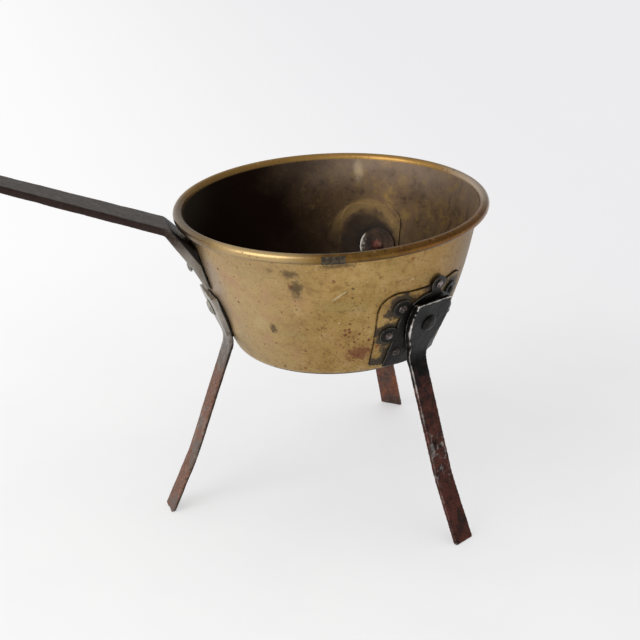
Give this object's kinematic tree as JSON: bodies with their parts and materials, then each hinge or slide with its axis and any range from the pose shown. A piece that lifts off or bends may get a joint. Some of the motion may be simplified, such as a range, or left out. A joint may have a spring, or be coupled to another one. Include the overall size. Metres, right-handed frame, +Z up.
{
  "type": "skillet",
  "caption": "Round brass skillet with a rolled rim, riveted to splayed flat iron legs and a long flat iron handle with a hanging hole, mended with riveted plates.",
  "frame": {"origin": "on the floor plane through the soles of the legs, under the bowl's axis", "axes": "+Z up along the bowl's axis, the handle runs out along -X"},
  "size_m": [0.3692, 0.1748, 0.239],
  "materials": {
    "bowl_brass": "aged, dull, spotted",
    "wire_iron": "bare iron wire",
    "solder": "dull grey solder",
    "handle_iron": "forged, dark, lightly rusted",
    "left_leg_iron": "forged, rubbed, brown rust",
    "right_leg_iron": "forged, blackened, red-brown rust",
    "back_leg_iron": "forged, orange-brown rust",
    "rivet_iron": "hammered iron",
    "rove_iron": "dark iron",
    "patch_brass": "aged brass sheet",
    "plate_iron": "blackened iron sheet",
    "inner_patch_brass": "sooted brass sheet",
    "small_rivet_iron": "hammered, grey"
  },
  "bodies": {
    "root": {"bowl": "bowl_brass", "rim_wire": "wire_iron", "rim_solder": "solder", "handle": "handle_iron", "handle_rivet": "rivet_iron", "handle_rove": "rove_iron", "left_leg": "left_leg_iron", "right_leg": "right_leg_iron", "back_leg": "back_leg_iron", "left_leg_rove": "rove_iron", "right_leg_rove": "rove_iron", "back_leg_rove": "rove_iron", "right_leg_patch": "patch_brass", "right_leg_plate": "plate_iron", "back_leg_patch": "inner_patch_brass", "left_leg_rivet": "rivet_iron", "right_leg_rivet": "rivet_iron", "back_leg_rivet": "rivet_iron", "patch_rivet_1": "small_rivet_iron", "patch_rivet_2": "small_rivet_iron", "patch_rivet_3": "small_rivet_iron", "patch_rivet_4": "small_rivet_iron", "patch_rivet_5": "small_rivet_iron", "patch_rivet_6": "small_rivet_iron", "patch_rivet_7": "small_rivet_iron"}
  },
  "joints": []
}
